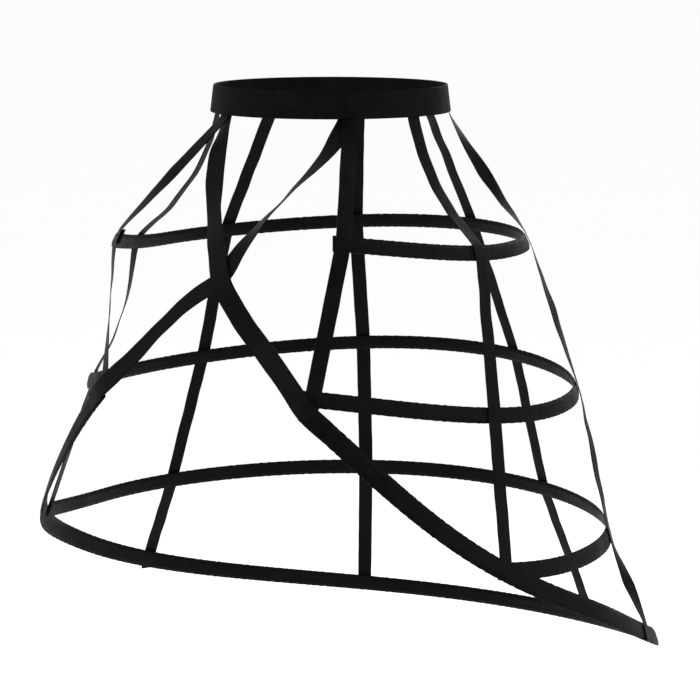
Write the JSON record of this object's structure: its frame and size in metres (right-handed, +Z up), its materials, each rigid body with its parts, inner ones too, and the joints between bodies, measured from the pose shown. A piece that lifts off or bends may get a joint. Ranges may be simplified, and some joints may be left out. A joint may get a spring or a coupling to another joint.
{
  "type": "crinoline cage",
  "caption": "Open-front skirt support for historic dress: cased steel hoops that widen towards the back, hung on ribbon straps from an elastic waistband, with crossed front straps.",
  "frame": {"origin": "middle of the waistband's top edge, on the body's axis", "axes": "+Z up the body, -Y towards the open front, +X towards the right as seen from the front"},
  "size_m": [0.6529, 0.5952, 0.6054],
  "materials": {
    "elastic": "woven elastic, matte",
    "casing": "satin ribbon",
    "ribbon": "satin ribbon",
    "steel": "spring steel",
    "tip": "crimped cap"
  },
  "bodies": {
    "root": {"waistband": "elastic", "hoop_1_casing": "casing", "hoop_1_bone": "steel", "hoop_1_bone_tip_left": "tip", "hoop_1_bone_tip_right": "tip", "hoop_2_casing": "casing", "hoop_2_bone": "steel", "hoop_2_bone_tip_left": "tip", "hoop_2_bone_tip_right": "tip", "hoop_3_casing": "casing", "hoop_3_bone": "steel", "hoop_3_bone_tip_left": "tip", "hoop_3_bone_tip_right": "tip", "hem_casing": "casing", "hem_bone": "steel", "hem_bone_tip_left": "tip", "hem_bone_tip_right": "tip", "front_strap_left": "ribbon", "front_strap_right": "ribbon", "side_front_strap_left": "ribbon", "side_front_strap_right": "ribbon", "side_back_strap_left": "ribbon", "side_back_strap_right": "ribbon", "back_strap_left": "ribbon", "back_strap_right": "ribbon", "cross_strap_left": "ribbon", "cross_strap_right": "ribbon"}
  },
  "joints": []
}
